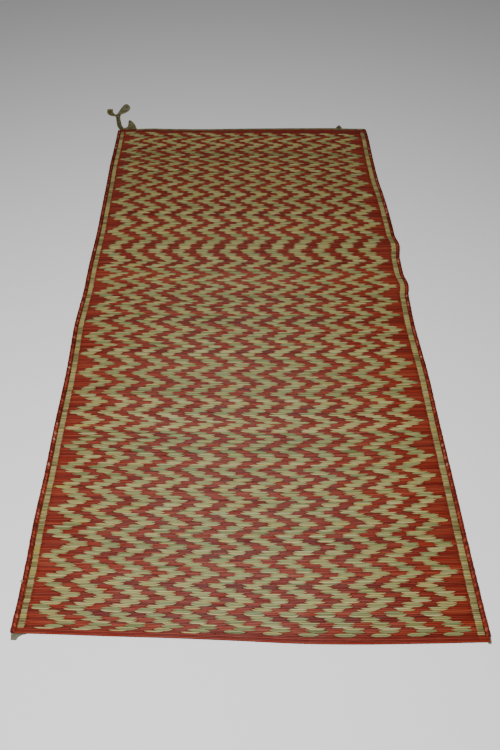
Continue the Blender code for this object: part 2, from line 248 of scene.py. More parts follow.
# The tie's tape up to the knot and out to its cut end, each square to the knot for a short run; its corner
SQUARE_RUN = 4.0
STALK = (
    # x, y, width, thick
    (-440.6, 905, 18.4, 2.4), (-443.9, 912, 17.8, 2.8), (-448.3, 922, 17, 3),
    (-452.4, 936, 16.8, 3.1), (-455.8, 953, 16.2, 3.2), (-459, 968, 15.4, 3.2),
    (-461, 980, 15.6, 3.2),
)
STALK_END = (1.5, 15.5, 3.4)
CUT_END = (
    # x, y, width, thick
    (-482, 1002.4, 17.5, 2.6), (-489.4, 1009.6, 21, 2.2), (-495, 1019.4, 22, 1.8),
    (-497.4, 1031, 22, 1.6), (-497.9, 1045.6, 20.6, 1.6),
)
CUT_END_START = (12.0, 3.2)
FLAP = (
    # x, y
    (-431.4, 909), (-430.4, 911.8), (-424.4, 914), (-420.4, 918.5), (-418.8, 930), (-419.9, 947),
    (-420, 961), (-418, 964.8), (-414.8, 963.6), (-407.2, 956), (-398.4, 942), (-392.4, 928),
    (-387.8, 914), (-384.6, 905),
)
KNOT_BANDS = (
    # name, points across, forward and up over the knot, width
    ("knot_band_low", ((-9, 3, 0.9), (-7.6, 2.4, 3.6), (-2, 0.6, 5.2), (4.5, -1.6, 4.9),
                       (8, -2.6, 3.2), (9, -3, 0.9)), 6.4),
    ("knot_band_high", ((-8.6, -3.2, 0.9), (-6.6, -2.6, 3.9), (-1, -0.4, 5.9), (4, 1.8, 5.4),
                        (7.6, 3.2, 3.4), (8.8, 3.6, 0.9)), 5.6),
)

# The far tab: its place across, its lean and its rows past the mat's end
FAR_TAB_X = 348.0
FAR_TAB_LEAN = 5.0
FAR_TAB_STEPS = 30
FAR_TAB = (
    # y, z, width, thick
    (-11, 4.2, 17, 1), (-4, 4.3, 20, 1.2), (1.5, 4.1, 22, 1.3), (5.5, 2.9, 22, 1.4),
    (10, 2.3, 20, 1.4), (16, 2.3, 15, 1.4), (21.5, 2.2, 8.5, 1.3), (25.6, 2, 3, 1),
)

# The tie's tape inside the loop's solid: up its left side, over at its tip, and down its right side on top
LOOP_TAPE = (
    # x, y, width, thick, raised
    (-461, 1012, 13, 2, 0), (-458.2, 1019, 16, 1.7, 0), (-455, 1026, 18, 1.5, 0),
    (-452.2, 1036, 19.5, 1.5, 0), (-449.2, 1046.5, 20, 1.5, 0), (-447.4, 1056, 19, 1.5, 0),
    (-446.4, 1062.5, 17, 1.5, 0.1), (-446, 1067.8, 13, 1.6, 0.3), (-445, 1072.8, 11, 1.7, 0.5),
    (-441.4, 1076.5, 10, 1.8, 0.8), (-438.2, 1072.6, 11, 1.7, 1.1), (-436.1, 1068, 13, 1.6, 1.3),
    (-435, 1061.4, 17, 1.5, 1.5), (-434.3, 1054.5, 20, 1.5, 1.5), (-434.5, 1047, 21, 1.5, 1.5),
    (-435.2, 1042, 21, 1.5, 1.5), (-436.8, 1036.5, 20.5, 1.5, 1.5), (-439.3, 1030, 19, 1.5, 1.5),
    (-443, 1024, 17, 1.6, 1.4), (-450, 1016.1, 14, 1.8, 1.1), (-454, 1010.4, 11.5, 2, 0.9),
)
LOOP_ENDS = (
    # across the knot, width, thick, raised
    (-2, 9, 2.8, 0), (4.5, 9, 2.6, 0.7),
)

# The creases along each tape: where across it from -1 to 1, how wide and how deep. Each is also darkened with
# painted shade
KNOT_CREASES = ((-0.35, 0.14, 0.4), (0.3, 0.12, 0.35))
CREASES = {
    "far_tape": ((0.45, 0.1, 0.5),),
    "near_fold": ((-0.3, 0.15, 0.5), (0.35, 0.12, 0.4)),
    "far_tab": ((0.1, 0.3, 0.6), (-0.5, 0.15, 0.4)),
    "knot_band_low": KNOT_CREASES,
    "knot_band_high": KNOT_CREASES,
    "tie_stalk_tape": ((-0.25, 0.18, 0.62), (0.3, 0.1, 0.25), (0.68, 0.1, 0.35)),
    "tie_loop_tape": ((0.45, 0.1, 0.25), (-0.1, 0.12, 0.2)),
    "tie_cut_tape": ((0.05, 0.16, 0.25), (-0.5, 0.1, 0.2)),
}

# A tape's section, and the flat pieces of cloth, with each one's thickness and how far it is crumpled
SECTION_TOP = 15
SECTION_UNDER = 7
SECTION_CROWN = 3
SHARP = math.radians(60)
CLOTH_EDGE_STEP = 2.5
CLOTH_STEP = 2.6
CRUMPLES = 0.09
CLOTHS = {"near_tab": (0.6, 0.5), "loop_inside": (0.4, 0.1), "tie_flap_cloth": (0.8, 0.6)}

# The tie's tape as one cord, read in rows about this many millimetres apart. It has another width and
# thickness in the knot, and passes at these shares of the knot's height
TIE_STEP = 2.0
IN_KNOT = (8.0, 1.6)
IN_KNOT_STEPS = 9
KNOT_PASSES = (0.36, 0.62)
FLAP_BASE_STEPS = 10

# Colours, in linear light
# A pale bluish colour added to the stems as painted sheen: a painted reflection of the light
PAINTED_SHEEN = (0.002, 0.030, 0.030)
DRIED_TINTS = ((0.87, 1.0, 1.08), (1.13, 1.02, 0.94))
DYED_TINTS = ((0.98, 0.6, 0.6), (1.02, 1.6, 1.7))
NATURAL = (
    # place, colour
    (0.0, (0.15, 0.145, 0.047)), (0.25, (0.22, 0.22, 0.092)), (0.5, (0.29, 0.262, 0.10)),
    (0.7, (0.35, 0.292, 0.105)), (0.88, (0.43, 0.375, 0.175)), (1.0, (0.38, 0.31, 0.07)),
)
STRIPES = (
    # place, colour
    (0.0, (0.16, 0.095, 0.045)), (0.2, (0.17, 0.155, 0.052)), (0.5, (0.27, 0.23, 0.09)),
    (0.85, (0.37, 0.31, 0.135)), (1.0, (0.33, 0.27, 0.065)),
)
RED = (
    # place, colour
    (0.0, (0.115, 0.011, 0.0065)), (0.35, (0.17, 0.018, 0.0095)), (0.7, (0.225, 0.027, 0.012)),
    (1.0, (0.27, 0.040, 0.017)),
)
PLAIT = (
    # place, colour
    (0.0, (0.12, 0.013, 0.008)), (0.35, (0.195, 0.026, 0.014)), (0.82, (0.32, 0.053, 0.025)),
    # The two palest stops are painted highlights, on the few lobes whose tone reaches them
    (0.94, (0.38, 0.10, 0.06)), (1.0, (0.40, 0.22, 0.14)),
)
# The side strands' darker red; on the bed, where it shows between the lobes, it is painted shade
PLAIT_DARK = (
    # place, colour
    (0.0, (0.07, 0.010, 0.006)), (0.6, (0.13, 0.016, 0.008)), (1.0, (0.21, 0.027, 0.012)),
)
STEMS = (
    ("natural_stems", NATURAL, DRIED_TINTS),
    ("red_stems", RED, DYED_TINTS),
    ("stripe_stems", STRIPES, DRIED_TINTS),
)
PLAITS = (("plait_bright", PLAIT), ("plait_dark", PLAIT_DARK))
TAPES = (
    # name, dark, light, borders
    ("olive_tape_cloth", (0.115, 0.10, 0.045), (0.27, 0.235, 0.12), (0.165, 0.175, 0.075)),
    ("olive_tape_faded", (0.15, 0.135, 0.072), (0.33, 0.31, 0.18), (0.17, 0.17, 0.08)),
    ("olive_tape_end", (0.12, 0.10, 0.028), (0.31, 0.28, 0.145), (0.22, 0.21, 0.12)),
    # Painted shade: the dark inside of the tie's loop
    ("olive_tape_inside", (0.035, 0.032, 0.014), (0.10, 0.09, 0.045), (0.05, 0.05, 0.02)),
    ("olive_tape_shaded", (0.065, 0.055, 0.018), (0.145, 0.122, 0.052), (0.09, 0.09, 0.034)),
    ("olive_tape_greyed", (0.125, 0.115, 0.078), (0.24, 0.22, 0.16), (0.17, 0.16, 0.115)),
)
PLAINS = (
    # name, colour, roughness, unevenness
    ("warp_cotton", (0.16, 0.09, 0.05), 0.9, 0.3),
    ("pale_thread", (0.35, 0.25, 0.17), 0.85, 0.3),
    # Painted shade: the dark that shows between the stems, on the layer inside the weave
    ("inner_layer", (0.11, 0.038, 0.017), 0.95, 0.3),
    ("pale_floor", (0.88, 0.88, 0.88), 0.8, 0.0),
)

# The finishes' patterns: how many lumps, streaks or threads to a metre along x, y and z
STREAKS = (28, 700, 300)
PATCHES = (5, 26, 5)
FIBRES = (60, 4200, 900)
TINTING = (9, 290, 9)
BLOTCHES = (120, 120, 120)
WEAVE = (7000, 7000, 1)
WORN = (55, 55, 55)
SLUBS = (300, 900, 300)
CLOUDS = (240, 240, 240)
STEM_ROUGHNESS = 0.42
PLAIT_ROUGHNESS = 0.62
TAPE_ROUGHNESS = 0.92
SPECULAR = 0.1

# The camera, fitted to the photograph: its focal length and shift in the picture's pixels, its place, and how
# far it looks down and to the side, in degrees
SENSOR = 36.0
PICTURE_HEIGHT = 750
FOCAL_LENGTH = 652.9
CAMERA_SHIFT = (-0.2, 0.12)
CAMERA_PLACE = (-5.5, -1300.1, 1254.2)
CAMERA_DOWN = 50.354
CAMERA_TURN = -0.828

# The studio's soft light, its even surround and its floor, in metres
KEY_PLACE = (-0.28, -1.25, 2.1)
KEY_TARGET = (0.0, -0.5, 0.0)
KEY_SIZE = 0.9
KEY_WATTS = 72
SURROUND = 0.14
FLOOR_REACH = 9

SETTLING_ROUNDS = 4
PANEL_WIDTH = MAT_WIDTH - 2 * (EDGE_WIDTH + GAP)
knot_low, knot_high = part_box("tie_knot")
SHIFT = np.array([*((knot_low + knot_high) / 2 / MM)[:2], 0.0]) - np.array([*KNOT_AT, 0.0])


# Route

def smooth(stations, at):
    """The smooth curve through a table's rows, read at the given places; its first column is where."""
    table = np.asarray(stations, float)
    where, values = table[:, 0], table[:, 1:]
    slopes = np.gradient(values, where, axis=0)
    at = np.clip(np.atleast_1d(np.asarray(at, float)), where[0], where[-1])
    low = np.clip(np.searchsorted(where, at, side="right") - 1, 0, len(where) - 2)
    step = (where[low + 1] - where[low])[:, None]
    t = (at[:, None] - where[low][:, None]) / step
    start, end = values[low], values[low + 1]
    leave, arrive = slopes[low] * step, slopes[low + 1] * step
    return (
        (2 * t**3 - 3 * t**2 + 1) * start
        + (t**3 - 2 * t**2 + t) * leave
        + (3 * t**2 - 2 * t**3) * end
        + (t**3 - t**2) * arrive
    )


def wave(y, centre, half):
    """A smooth hump: 1 at its centre, and 0 from half its length away."""
    return np.cos(np.clip((y - centre) / half, -1, 1) * math.pi / 2) ** 2


def left_x(y):
    return smooth(LEFT_SIDE, y)[:, 0]


def right_x(y):
    out = sum(outward * wave(y, centre, half) for centre, outward, _, half, _ in RIPPLES)
    return smooth(RIGHT_SIDE, y)[:, 0] + out


def far_y(x):
    return smooth(FAR_END, x)[:, 0]


def near_y(x):
    return smooth(NEAR_END, x)[:, 0]


def ease(t):
    """From 0 to 1 with level ends."""
    t = np.clip(t, 0, 1)
    return t * t * (3 - 2 * t)


def lift(x, y):
    """How high the mat lies at a point: on its tapes at the ends, and in the right side's ripples."""
    from_end = np.minimum(far_y(x) - y, y - near_y(x))
    height = END_LIFT * (1 - ease((from_end - END_FLAT) / END_RAMP))
    inwards = right_x(y) - x
    for centre, _, upward, half, reach in RIPPLES:
        height = height + upward * wave(y, centre, half) * (1 - ease(inwards / reach))
    return height


def bow(across, y):
    """How far the stem at this share of the width and this y lies beyond straight."""
    shares = smooth(np.column_stack([BOW_SHARES, np.eye(len(BOW_SHARES))]), across)
    return (smooth(BOW, y) * shares).sum(1)


def panel_point(across, along):
    """The panel's point at these shares of its width and length, between its four edges."""
    inset = EDGE_WIDTH + GAP
    x = (across - 0.5) * MAT_WIDTH
    for _ in range(SETTLING_ROUNDS):
        y = near_y(x) + along * (far_y(x) - near_y(x))
        y = y + bow(across, y)
        left, right = left_x(y) + inset, right_x(y) - inset
        x = left + across * (right - left)
    return x, y


def in_frame(points):
    """Drawn millimetres as metres in the part's frame."""
    return (np.asarray(points, float) + SHIFT) * MM


def by_knot(across, forward):
    """A point at these distances from the knot's middle, in its own turned frame."""
    cos, sin = math.cos(KNOT_TURN), math.sin(KNOT_TURN)
    return KNOT_AT[0] + across * cos - forward * sin, KNOT_AT[1] + across * sin + forward * cos


def square_to_knot(across, side, *size):
    """The last two rows of a stretch that meets the knot in front (side 1) or behind (side -1)."""
    reach = KNOT_SIZE[1] / 2 + GAP
    return [(*by_knot(across, side * (reach + further)), *size) for further in (SQUARE_RUN, 0)]


def along_rows(table, step):
    """A route's rows (x, y, height, width, thickness) from its table's x, y, width, thickness and, if it lies
    on another stretch, how far it is raised; read from a smooth curve, about a step apart."""
    table = np.asarray(table, float)
    run = np.concatenate([[0], np.cumsum(np.linalg.norm(np.diff(table[:, :2], axis=0), axis=1))])
    rows = smooth(np.column_stack([run, table]), np.linspace(0, run[-1], int(run[-1] / step) + 1))
    raised = rows[:, 4:].sum(1)
    return np.column_stack([rows[:, :2], rows[:, 3] / 2 + raised, rows[:, 2:4]])


# Node trees

class Value:
    """A node's output that takes part in Python arithmetic: each operator adds its Math node."""

    def __init__(self, tree, socket):
        self.tree = tree
        self.socket = socket

    def maths(self, operation, *values):
        return self.tree.node("ShaderNodeMath", dict(enumerate(values)), operation=operation)

    def __add__(self, other):
        return self.maths("ADD", self, other)

    def __sub__(self, other):
        return self.maths("SUBTRACT", self, other)

    def __rsub__(self, other):
        return self.maths("SUBTRACT", other, self)

    def __mul__(self, other):
        return self.maths("MULTIPLY", self, other)

    def __abs__(self):
        return self.maths("ABSOLUTE", self)

    __radd__ = __add__
    __rmul__ = __mul__

    def other(self, output):
        """Another output of the same node."""
        return Value(self.tree, self.socket.node.outputs[output])

    def sign(self):
        return self.maths("SIGN", self)

    def sine(self):
        return self.maths("SINE", self)

    def clamped(self):
        return self.tree.node("ShaderNodeClamp", {0: self})


class Tree:
    """A node tree whose nodes all come from one method."""

    def __init__(self, tree):
        self.tree = tree

    def node(self, kind, values=(), output=0, stops=None, **settings):
        """Adds a node with its settings, then its sockets' values or links, and gives one of its outputs."""
        made = self.tree.nodes.new(kind)
        for name, value in settings.items():
            setattr(made, name, value)
        for index, (place, colour) in enumerate(stops or ()):
            ramp = made.color_ramp.elements
            stop = ramp[index] if index < 2 else ramp.new(place)
            stop.position = place
            stop.color = (*colour, 1.0)
        for name, value in dict(values).items():
            if isinstance(value, Value):
                self.tree.links.new(value.socket, made.inputs[name])
            else:
                made.inputs[name].default_value = value
        return Value(self, made.outputs[output])


def new_group(name, **kinds):
    """A Geometry Nodes tree with a geometry input and output, and named inputs of these kinds."""
    group = bpy.data.node_groups.new(name, "GeometryNodeTree")
    group.interface.new_socket("Geometry", in_out="OUTPUT", socket_type="NodeSocketGeometry")
    for label, kind in {"Geometry": "Geometry", **kinds}.items():
        group.interface.new_socket(label, in_out="INPUT", socket_type="NodeSocket" + kind)
    tree = Tree(group)
    source = group.nodes.new("NodeGroupInput")
    inputs = {socket.name: Value(tree, socket) for socket in source.outputs if socket.name}
    return tree, inputs


def vector_attribute(tree, name):
    return tree.node("GeometryNodeInputNamedAttribute", {"Name": name}, data_type="FLOAT_VECTOR")


def stored(tree, geometry, name, value, domain):
    """The geometry with a value stored on it under a name."""
    return tree.node(
        "GeometryNodeStoreNamedAttribute", {"Geometry": geometry, "Name": name, "Value": value},
        data_type="FLOAT", domain=domain,
    )


def drawn(tree, low, high, seed):
    """A random value between two others."""
    return tree.node("FunctionNodeRandomValue", {2: low, 3: high, "Seed": seed}, output=1)


def finish_group(tree, instances, finish, spare=()):
    """Realizes the instances, drops the attributes that placed them, and gives them their finish."""
    solid = tree.node("GeometryNodeRealizeInstances", {0: instances})
    for name in spare:
        solid = tree.node("GeometryNodeRemoveAttribute", {"Geometry": solid, "Name": name})
    rounded = tree.node("GeometryNodeSetShadeSmooth", {"Geometry": solid, "Shade Smooth": True})
    painted = tree.node("GeometryNodeSetMaterial", {"Geometry": rounded, "Material": finish})
    end = tree.tree.nodes.new("NodeGroupOutput")
    tree.tree.links.new(painted.socket, end.inputs[0])
    return tree.tree


def stem_group():
    """The tree that puts one float of a stem at each point: a four-sided tube whose ends dive and narrow."""
    tree, inputs = new_group(
        "woven_stems", Climb="Float", Squeeze="Float", Sidestep="Float", Sink="Float", Finish="Material"
    )
    rings = 3
    half_height, flatter, rise = 0.235, 0.1, 0.265
    tube = tree.node(
        "GeometryNodeMeshCylinder",
        {"Vertices": 4, "Side Segments": rings, "Radius": 1.0, "Depth": 1.0},
        fill_type="NONE",
    )
    parts = tree.node("ShaderNodeSeparateXYZ", {0: tree.node("GeometryNodeInputPosition")})
    side, up, run = (parts.other(i) for i in range(3))
    end = (abs(run) * 2 - 1 / rings) * (rings / (rings - 1))
    x = run.sign() * (0.5 - inputs["Climb"] * (1 - end))
    y = side * 0.5 * (1 - inputs["Squeeze"] * end) + inputs["Sidestep"] * end
    z = up * (half_height - flatter * end) + rise * (1 - inputs["Sink"] * end)
    shape = tree.node("ShaderNodeCombineXYZ", {0: x, 1: y, 2: z})
    stem = tree.node("GeometryNodeSetPosition", {"Geometry": tube, "Position": shape})
    turn = tree.node("FunctionNodeEulerToRotation", {0: vector_attribute(tree, "turn")})
    placed = tree.node("GeometryNodeInstanceOnPoints", {
        "Points": inputs["Geometry"],
        "Instance": stem,
        "Rotation": turn,
        "Scale": vector_attribute(tree, "size"),
    })
    return finish_group(tree, placed, inputs["Finish"], ("turn", "size"))


def bead_group():
    """The tree that lays slanted lobes along a line, as a plait's strands show."""
    tree, inputs = new_group(
        "lobes_on_line", Pitch="Float", Size="Vector", Slant="Float", Uneven="Float", Seed="Int", Sides="Int",
        Rings="Int", Finish="Material",
    )
    seed, uneven = inputs["Seed"], inputs["Uneven"]
    swell_seed, tone_seed = 7, 19
    ball = tree.node(
        "GeometryNodeMeshUVSphere", {"Segments": inputs["Sides"], "Rings": inputs["Rings"], "Radius": 0.5}
    )
    across = tree.node("ShaderNodeSeparateXYZ", {0: tree.node("GeometryNodeInputPosition")})
    lobe = stored(tree, ball, "grain", across, "POINT")
    curve = tree.node("GeometryNodeMeshToCurve", {"Mesh": inputs["Geometry"]})
    dots = tree.node("GeometryNodeCurveToPoints", {"Curve": curve, "Length": inputs["Pitch"]}, mode="LENGTH")
    facing = tree.node("FunctionNodeAlignRotationToVector", {"Vector": dots.other("Tangent")}, axis="Y")
    lean = inputs["Slant"] * (1 + uneven * drawn(tree, -1.0, 1.0, seed))
    turn = tree.node("FunctionNodeEulerToRotation", {0: tree.node("ShaderNodeCombineXYZ", {2: lean})})
    spun = tree.node("FunctionNodeRotateRotation", {0: facing, 1: turn}, rotation_space="LOCAL")
    swell = drawn(tree, 1 - uneven, 1 + uneven, seed + swell_seed)
    scale = tree.node("ShaderNodeVectorMath", {0: inputs["Size"], "Scale": swell}, operation="SCALE")
    placed = tree.node("GeometryNodeInstanceOnPoints", {
        "Points": dots, "Instance": lobe, "Rotation": spun, "Scale": scale,
    })
    toned = stored(tree, placed, "tone", drawn(tree, 0.0, 1.0, seed + tone_seed), "INSTANCE")
    return finish_group(tree, toned, inputs["Finish"])


def thread_group():
    """The tree that makes a round thread of each line."""
    tree, inputs = new_group("threads", Radius="Float", Finish="Material")
    ring = tree.node("GeometryNodeCurvePrimitiveCircle", {"Resolution": 4, "Radius": inputs["Radius"]})
    curve = tree.node("GeometryNodeMeshToCurve", {"Mesh": inputs["Geometry"]})
    thread = tree.node("GeometryNodeCurveToMesh", {"Curve": curve, "Profile Curve": ring, "Fill Caps": True})
    return finish_group(tree, thread, inputs["Finish"])


# Finishes

class Finish(Tree):
    """A material with its Principled shader, its coordinates and the patterns that the finishes share."""

    def __init__(self, name, roughness):
        self.material = bpy.data.materials.new(name)
        self.material.use_nodes = True
        super().__init__(self.material.node_tree)
        self.shader = self.tree.nodes["Principled BSDF"]
        self.shader.inputs["Roughness"].default_value = roughness
        self.shader.inputs["Specular IOR Level"].default_value = SPECULAR

    def put(self, socket, value):
        self.tree.links.new(value.socket, self.shader.inputs[socket])

    def stretched(self, scale, output="Object"):
        """Coordinates that go by this much to a metre."""
        place = self.node("ShaderNodeTexCoord", output=output)
        return self.node("ShaderNodeVectorMath", {0: place, 1: scale}, operation="MULTIPLY")

    def cloudy(self, scale, detail=2.0):
        """Noise of mean one half."""
        vector = self.stretched(scale)
        return self.node("ShaderNodeTexNoise", {"Vector": vector, "Scale": 1.0, "Detail": detail})

    def carried(self, name):
        """A value that the mesh carries."""
        return self.node("ShaderNodeAttribute", output="Fac", attribute_name=name)

    def mixed(self, share, first, second, blend="MIX"):
        values = {0: share, 6: first, 7: second}
        return self.node("ShaderNodeMix", values, output=2, data_type="RGBA", blend_type=blend)

    def ramp(self, share, stops):
        return self.node("ShaderNodeValToRGB", {0: share}, stops=stops)

    def shaded(self, colour, shade):
        """A colour made darker or lighter by a grey value."""
        grey = self.node("ShaderNodeCombineColor", {0: shade, 1: shade, 2: shade})
        return self.mixed(1.0, colour, grey, "MULTIPLY")

    def bumped(self, height, distance, strength):
        normal = self.node("ShaderNodeBump", {"Strength": strength, "Distance": distance, "Height": height})
        self.put("Normal", normal)


def rgba(colour):
    return (*colour, 1.0)


def around(pattern, gain):
    """How far a pattern is above or below one half, times a gain."""
    return (pattern - 0.5) * gain


def contrasted(pattern, gain):
    return (around(pattern, gain) + 0.5).clamped()


def stem_finish(name, stops, tints):
    """Dried grass: a colour for each stem, streaked along it and tinted, with fibres and a painted pale
    sheen.
    """
    made = Finish(name, STEM_ROUGHNESS)
    streak = made.cloudy(STREAKS)
    patch = made.cloudy(PATCHES)
    pick = (made.carried("tone") + around(streak, 0.5) + around(patch, 0.35)).clamped()
    fibre = made.cloudy(FIBRES, detail=1.0)
    # Painted sheen: a pale reflection of the light, added to the colour most down the mat's middle
    sheen_share = contrasted(streak, 3) * 2 * made.carried("painted_sheen")
    tint = contrasted(made.cloudy(TINTING, detail=1.0), 2.4)
    tint_colour = made.mixed(tint, *(rgba(extreme) for extreme in tints))
    tinted = made.mixed(1.0, made.ramp(pick, stops), tint_colour, "MULTIPLY")
    made.put("Base Color", made.mixed(sheen_share, made.shaded(tinted, 0.8 + fibre * 0.4), rgba(PAINTED_SHEEN), "ADD"))
    made.bumped(fibre, 0.0002, 0.5)
    made.put("Roughness", STEM_ROUGHNESS - 0.12 + fibre * 0.25)
    return made.material


def plait_finish(name, stops):
    """Plaited grass: a colour for each lobe, a few with a painted highlight, and the stems' ridges along it.
    """
    made = Finish(name, PLAIT_ROUGHNESS)
    ridges = (made.carried("grain") * 26 + made.carried("tone") * 6).sine() * 0.5 + 0.5
    pick = (made.carried("tone") + around(made.cloudy(BLOTCHES), 0.5)).clamped()
    made.put("Base Color", made.shaded(made.ramp(pick, stops), 0.72 + ridges * 0.36))
    made.bumped(ridges, 0.0003, 0.6)
    return made.material


def tape_finish(name, dark, light, selvedge):
    """Cotton tape: paler patches of wear, painted shade in its creases, borders of another colour, in a fine
    plain weave.
    """
    made = Finish(name, TAPE_ROUGHNESS)
    parts = made.node("ShaderNodeSeparateXYZ", {0: made.stretched(WEAVE, "UV")})
    warp, weft = (parts.other(i).sine() for i in range(2))
    weave = warp * weft * 0.5 + 0.5
    slub = made.cloudy(SLUBS)
    share = ((made.cloudy(WORN, detail=4.0) - 0.42) * 3.2 + around(slub, 0.8)).clamped()
    side = ((made.carried("border") - 0.62) * 4).clamped() * 0.8
    colour = made.mixed(side, made.mixed(share, rgba(dark), rgba(light)), rgba(selvedge))
    # The creases are darkened with painted shade, as deep as each place is in them
    shade = (0.78 + weave * 0.3) * (1 - made.carried("fold") * 0.8)
    made.put("Base Color", made.shaded(colour, shade))
    made.bumped(weave + slub * 0.8, 0.00025, 0.8)
    return made.material


def plain_finish(name, colour, roughness, uneven):
    """One colour, a little uneven."""
    made = Finish(name, roughness)
    dark = tuple(c * (1 - uneven) for c in colour)
    made.put("Base Color", made.mixed(made.cloudy(CLOUDS), rgba(dark), rgba(colour)))
    return made.material


# Meshes

def add(name, data, slot=None):
    """Puts a mesh, a light or a camera in the scene; with a slot, it is a piece that rides with the mat."""
    made = bpy.data.objects.new(name, data)
    bpy.context.scene.collection.objects.link(made)
    if slot:
        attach(made, "root")
    return made


def mesh_of(name, points, edges, faces):
    """A new mesh of these points, in metres."""
    mesh = bpy.data.meshes.new(name)
    mesh.from_pydata([tuple(p) for p in points], edges, faces)
    return mesh


def line_mesh(name, lines):
    """A mesh of open lines, each a list of points in metres."""
    edges = []
    first = 0
    for line in lines:
        edges += [(i, i + 1) for i in range(first, first + len(line) - 1)]
        first += len(line)
    return mesh_of(name, np.concatenate(lines), edges, [])


def unwrap(mesh, places):
    """Gives each corner its vertex's place on the cloth, from millimetres."""
    corners = [loop.vertex_index for loop in mesh.loops]
    mesh.uv_layers.new(name="UVMap").data.foreach_set("uv", (places[corners] * MM).ravel())


def evaluated_mesh(made):
    """A plain mesh of what an object's modifiers make."""
    bpy.context.view_layer.update()
    graph = bpy.context.evaluated_depsgraph_get()
    return bpy.data.meshes.new_from_object(
        made.evaluated_get(graph), preserve_all_data_layers=True, depsgraph=graph
    )


def grow(name, mesh, group, slot, **values):
    """Runs a Geometry Nodes tree on a mesh and keeps its result as a plain mesh piece."""
    carrier = add(name + "_points", mesh)
    modifier = carrier.modifiers.new("grow", "NODES")
    modifier.node_group = group
    for item in group.interface.items_tree:
        if item.in_out == "INPUT" and item.name in values:
            modifier[item.identifier] = values[item.name]
    result = evaluated_mesh(carrier)
    bpy.data.objects.remove(carrier, do_unlink=True)
    result.name = name
    result.materials.clear()
    result.materials.append(values["Finish"])
    return add(name, result, slot)


def thickened(made, thick):
    """Gives a flat piece its thickness in millimetres, upwards, and keeps the result as its mesh."""
    shell = made.modifiers.new("thickness", "SOLIDIFY")
    shell.thickness = thick * MM
    shell.offset = 1
    mesh = evaluated_mesh(made)
    made.modifiers.clear()
    made.data = mesh
    return made


def rows_of(*columns):
    """Rows of these columns, where a single value is the same in every row."""
    count = max(len(column) for column in columns if np.ndim(column))
    return np.column_stack([column if np.ndim(column) else np.full(count, column) for column in columns])


def ring_faces(rings, count):
    """The four-sided faces between neighbouring rings of this many points."""
    here = np.arange(count)
    following = (here + 1) % count
    ring = np.arange(rings - 1)[:, None] * count
    faces = np.stack([ring + here, ring + count + here, ring + count + following, ring + following], -1)
    return faces.reshape(-1, 4).tolist()


def tape_section(creases):
    """A tape's section, from -1 to 1 across and up, with its creases along the top; and how deep in its
    creases each place is, which sets the painted shade there."""
    top = np.linspace(-1, 1, SECTION_TOP)
    height = np.sqrt(1 - np.abs(top) ** SECTION_CROWN)
    crease_shade = np.zeros_like(top)
    for place, spread, depth in creases:
        dip = depth * np.exp(-(((top - place) / spread) ** 2))
        height = height * (1 - dip)
        crease_shade = np.maximum(crease_shade, dip)
    under = np.linspace(1, -1, SECTION_UNDER)[1:-1]
    low = -np.sqrt(1 - np.abs(under) ** SECTION_CROWN)
    return (np.concatenate(pair) for pair in ((top, under), (height, low), (crease_shade, np.zeros_like(under))))


def tape(name, rows, finish, slot="olive_tape"):
    """A strip of tape along rows of x, y, height, width and thickness, with its creases and flat ends."""
    rows = np.asarray(rows, float)
    path = rows[:, :3]
    run = np.gradient(path, axis=0)
    run /= np.linalg.norm(run, axis=1)[:, None]
    side = np.cross(run, (0, 0, 1))
    side /= np.linalg.norm(side, axis=1)[:, None]
    up = np.cross(side, run)
    length = np.concatenate([[0], np.cumsum(np.linalg.norm(np.diff(path, axis=0), axis=1))])
    across, rise, crease_shade = tape_section(CREASES.get(name, ()))
    wide = rows[:, 3:4] / 2 * across
    high = rows[:, 4:5] / 2 * rise
    points = path[:, None] + wide[..., None] * side[:, None] + high[..., None] * up[:, None]
    first = np.arange(len(across))
    last = (len(rows) - 1) * len(across) + first[::-1]
    faces = [*ring_faces(len(rows), len(across)), first.tolist(), last.tolist()]
    mesh = mesh_of(name, in_frame(points.reshape(-1, 3)), [], faces)
    # The fold values carry the painted shade of the creases
    for label, values in (("border", np.abs(across)), ("fold", crease_shade)):
        layer = mesh.attributes.new(label, "FLOAT", "POINT")
        layer.data.foreach_set("value", np.tile(values, len(rows)))
    unwrap(mesh, np.stack(np.broadcast_arrays(wide, length[:, None]), -1).reshape(-1, 2))
    shaped = bmesh.new()
    shaped.from_mesh(mesh)
    bmesh.ops.recalc_face_normals(shaped, faces=shaped.faces)
    shaped.to_mesh(mesh)
    shaped.free()
    mesh.shade_smooth()
    mesh.set_sharp_from_angle(angle=SHARP)
    mesh.materials.append(finish)
    return add(name, mesh, slot)


